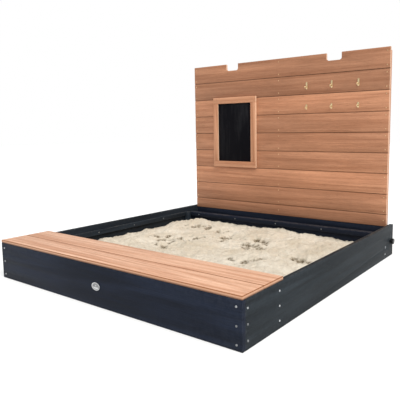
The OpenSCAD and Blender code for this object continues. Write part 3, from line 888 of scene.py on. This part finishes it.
BROWN = (0.505, 0.242, 0.136)
BROWN_LATE = (0.285, 0.116, 0.057)
PLANK_TONES = (0.95, 0.86, 1.22, 1.07, 1.05, 1.13, 1.25, 1.08, 1.0)
TONGUE_THICK = 0.004
TONGUE_TALL = 0.0056
GROOVE_FIT = 0.0001
GROOVE_DEEP = 0.0041
PLANK_ARRIS = 0.0014
# Painted shade along the foot of each plank, at the joint with the plank below.
PLANK_SHADED = 0.0024
PLANK_ENDS = (0.80, 0.56, 0.42)
NOTCH_PLACE = 0.305
NOTCH_WIDE = 0.079
NOTCH_DEEP = 0.036
NOTCH_CORNER = 0.012


def across(piece, edge, length, below):
    """Whether an edge is longer than that along Y, and lies below that height."""
    ends = [piece.data.vertices[i].co for i in edge.vertices]
    return abs(ends[0].y - ends[1].y) > length and max(end.z for end in ends) < below


for number, tone in enumerate(PLANK_TONES, 1):
    node = f"plank_{number}"
    low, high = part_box(node)
    tongue = 0 if number == 1 else TONGUE_TALL
    middle = (low.y + high.y) / 2
    plank = block(low, (high.x, high.y, high.z - tongue))
    if number < len(PLANK_TONES):
        reach = TONGUE_THICK / 2 + GROOVE_FIT
        combine(plank, block((low.x - 0.01, middle - reach, low.z - 0.01),
                             (high.x + 0.01, middle + reach, low.z + GROOVE_DEEP)), "DIFFERENCE")
    if tongue:
        combine(plank, block((low.x, middle - TONGUE_THICK / 2, high.z - tongue - 0.002),
                             (high.x, middle + TONGUE_THICK / 2, high.z)), "UNION")
    if number == 1:
        for side in (-1, 1):
            notch = block((side * NOTCH_PLACE - NOTCH_WIDE / 2, low.y - 0.01, high.z - NOTCH_DEEP),
                          (side * NOTCH_PLACE + NOTCH_WIDE / 2, high.y + 0.01, high.z + 0.02))
            pick(notch, "EDGE", lambda edge: across(notch, edge, 0.01, high.z))
            bpy.ops.mesh.bevel(offset=NOTCH_CORNER, segments=8, affect="EDGES")
            bpy.ops.object.mode_set(mode="OBJECT")
            combine(plank, notch, "DIFFERENCE")
    ease_edges(plank, PLANK_ARRIS)
    hand_over(plank, node, "cover",
              oiled(node, "X", 3.0 + 1.9 * number, tone, BROWN, BROWN_LATE, rings=44, streak=0.62,
                    figure=0.25, fibre=0.2, shaded=(low.z, PLANK_SHADED), ends=PLANK_ENDS, mottle=0.1))

# Cover rail and battens --------------------------------------------------------------------------------
# Three upright battens hold the planks together from behind. A stained rail below the planks joins the
# battens' feet between the steel arms.

for number, node in enumerate(("cover_batten_left", "cover_batten_mid", "cover_batten_right")):
    hand_over(ease_edges(block(*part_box(node)), ARRIS), node, "cover",
              oiled(node, "Z", 41.0 + 2.3 * number, 1.0, BROWN, BROWN_LATE))
hand_over(ease_edges(block(*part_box("cover_rail")), ARRIS), "cover_rail", "cover",
          stain_finish("cover_rail", "X", 50.1, STAIN_FRONT_SHADED))

# Cover screws ------------------------------------------------------------------------------------------
# Small yellow-zinc screws, two through each plank into each batten, and one through the narrow plank at
# the foot.

YELLOW_ZINC = metal_finish("yellow zinc plate", (0.78, 0.55, 0.33), 0.32, (0.5, 0.33, 0.18))
hand_over(heads_on("cover_screws", -1), "cover_screws", "cover", YELLOW_ZINC)

# Pivot arms --------------------------------------------------------------------------------------------
# A flat steel plate at each end of the cover, cut with a round end for the pivot bolt, and powder coated
# black. It runs back to the end batten and up it.

COAT_DARK = (0.012, 0.013, 0.015)
COAT_PALE = (0.022, 0.023, 0.026)
COAT_WORN = (0.2, 0.2, 0.21)

arm_coat, tree, shader, place = new_finish("black powder coat")
peel = noise(tree, place, 700.0)
worn = grouped(tree, WEAR, Vector=place, Radius=0.001)["Wear"]
colour = blend_colour(tree, remap(tree, peel, 0.3, 0.7), (*COAT_DARK, 1), (*COAT_PALE, 1))
colour = blend_colour(tree, calc(tree, "MULTIPLY", worn, 0.6), colour, (*COAT_WORN, 1))
tree.links.new(colour, shader["Base Color"])
tree.links.new(remap(tree, peel, 0.3, 0.7, 0.38, 0.52), shader["Roughness"])
emboss(tree, shader, peel, 0.3, 0.0002)
for node in ("pivot_arm_left", "pivot_arm_right"):
    hand_over(eased_copy(node, 0.0005), node, "cover", arm_coat)

# Chalkboard --------------------------------------------------------------------------------------------
# A thin panel with matt black board paint, held to the planks by a frame of four salmon-brown strips with
# butted corners. Wiped chalk has left a faint haze on the paint.

FRAME_EARLY = (0.66, 0.345, 0.205)
FRAME_LATE = (0.40, 0.165, 0.08)
FRAME_ARRIS = 0.0020
# Painted highlight on the faces of the frame strips that look along X: the stiles' sides, which catch the
# light, and the rails' ends.
FRAME_SIDES_HIGHLIGHT = (0.92, 0.66, 0.46)
BOARD_BLACK = (0.0035, 0.0032, 0.005)
CHALK = (0.55, 0.56, 0.58)

board_paint, tree, shader, place = new_finish("board paint")
wiped = put(tree, "Mapping", {"Vector": place, "Rotation": (0, 0.08, 0), "Scale": (26, 5, 4)}).outputs[0]
haze = noise(tree, wiped, 1.0, 6.0, 0.62)
tooth = noise(tree, place, 1600.0)
chalk = calc(tree, "MULTIPLY", remap(tree, haze, 0.48, 0.78), remap(tree, tooth, 0.35, 0.65, 0.3, 1))
colour = blend_colour(tree, calc(tree, "MULTIPLY", chalk, 0.05), (*BOARD_BLACK, 1), (*CHALK, 1))
tree.links.new(colour, shader["Base Color"])
tree.links.new(remap(tree, chalk, 0, 1, 0.62, 0.85), shader["Roughness"])
emboss(tree, shader, tooth, 0.3, 0.0001)
shader["Specular IOR Level"].default_value = 0.06
hand_over(ease_edges(block(*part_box("chalkboard")), 0.0006), "chalkboard", "cover", board_paint)
for number, (node, along) in enumerate((("chalk_rail_top", "X"), ("chalk_rail_bottom", "X"),
                                        ("chalk_stile_left", "Z"), ("chalk_stile_right", "Z"))):
    strip = ease_edges(block(*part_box(node)), FRAME_ARRIS, 3)
    hand_over(strip, node, "cover",
              oiled(node, along, 60.0 + 1.7 * number, 1.0, FRAME_EARLY, FRAME_LATE, rings=40,
                    ends=FRAME_SIDES_HIGHLIGHT, ends_axis="X"))

# Coat hooks --------------------------------------------------------------------------------------------
# Brass hooks in two rows of three, large ones above and small ones below. Each is a round-ended plate held
# by a screw, with a rod that runs down out of it, turns forward and up, and ends in a ball.

PLATE_WIDE = 0.009
PLATE_THICK = 0.002
PLATE_ROUND = 0.0044
HOOK_SCREW = (0.0019, 0.0007)
SCREW_DROP = 0.0055
TURN_RISE = 0.004
ROD_SINK = 0.0008
TIP_TALL = 0.007
BALL = 1.4
TURN_STEPS = 14

BRASS = metal_finish("polished brass", (0.92, 0.74, 0.45), 0.2, (0.70, 0.50, 0.25), 0.15)


def coat_hook(low, high, plate_tall, bend, wire):
    """One hook in the box between two corners, on the planks' face at high.y."""
    x, back = (low.x + high.x) / 2, high.y
    rod_y = back - PLATE_THICK - ROD_SINK
    turn_z = high.z - plate_tall + TURN_RISE
    plate = block((x - PLATE_WIDE / 2, back - PLATE_THICK, high.z - plate_tall),
                  (x + PLATE_WIDE / 2, back, high.z))
    pick(plate, "EDGE", lambda edge: across(plate, edge, 0.5 * PLATE_THICK, math.inf))
    bpy.ops.mesh.bevel(offset=PLATE_ROUND, segments=7, affect="EDGES")
    bpy.ops.object.mode_set(mode="OBJECT")
    ease_edges(plate, 0.0004)
    rod = cylinder((x, rod_y, turn_z + plate_tall / 4), (0, 0, 1), wire, plate_tall / 2, 20)
    take(rod)
    pick(rod, "FACE", lambda face: face.normal.z < -0.9)
    bpy.ops.mesh.spin(steps=TURN_STEPS, angle=-math.pi, center=(x, rod_y - bend, turn_z), axis=(1, 0, 0))
    bpy.ops.mesh.extrude_region_move(TRANSFORM_OT_translate={"value": (0, 0, TIP_TALL)})
    bpy.ops.mesh.select_all(action="SELECT")
    bpy.ops.mesh.remove_doubles(threshold=SAME_POINT)
    bpy.ops.mesh.normals_make_consistent(inside=False)
    bpy.ops.object.mode_set(mode="OBJECT")
    bpy.ops.object.shade_smooth_by_angle(angle=math.radians(50))
    start()
    bpy.ops.mesh.primitive_uv_sphere_add(segments=24, ring_count=14, radius=BALL * wire,
                                         location=(x, rod_y - 2 * bend, turn_z + TIP_TALL))
    ball = bpy.context.object
    settle(ball)
    bpy.ops.object.shade_smooth()
    screw = pan_head(*HOOK_SCREW)
    screw.data.transform(Matrix.Translation((x, back - PLATE_THICK, high.z - SCREW_DROP))
                         @ Matrix.Rotation(math.pi / 2, 4, "X"))
    return [plate, rod, ball, screw]


for node, bend, wire in (("hooks_upper", 0.008, 0.0022), ("hooks_lower", 0.0065, 0.002)):
    parts = []
    for low, high in solids(node):
        plate_tall = high.z - low.z + TURN_RISE - bend - wire
        parts += coat_hook(low, high, plate_tall, bend, wire)
    hand_over(join(parts), node, "cover", BRASS)

# Lock knobs --------------------------------------------------------------------------------------------
# A five-lobed knob moulded in black plastic at each side, on a zinc stud whose end clamps the steel arm.

PLASTIC = (0.006, 0.006, 0.007)
PLASTIC_WORN = (0.05, 0.05, 0.052)

knob_plastic, tree, shader, place = new_finish("moulded black plastic")
spark = noise(tree, place, 1100.0)
rub = noise(tree, place, 120.0, 4.0)
worn = grouped(tree, WEAR, Vector=place, Radius=0.0012)["Wear"]
colour = blend_colour(tree, calc(tree, "MULTIPLY", worn, 0.4), (*PLASTIC, 1), (*PLASTIC_WORN, 1))
tree.links.new(colour, shader["Base Color"])
tree.links.new(remap(tree, rub, 0.35, 0.7, 0.28, 0.5), shader["Roughness"])
emboss(tree, shader, spark, 0.25, 0.0002)
for side in ("left", "right"):
    knob, stud, body = "lock_knob_" + side, "lock_stud_" + side, "knob_" + side
    hand_over(eased_copy(knob, 0.0012, 3), knob, body, knob_plastic)
    hand_over(eased_copy(stud, 0.0005), stud, body, ZINC)
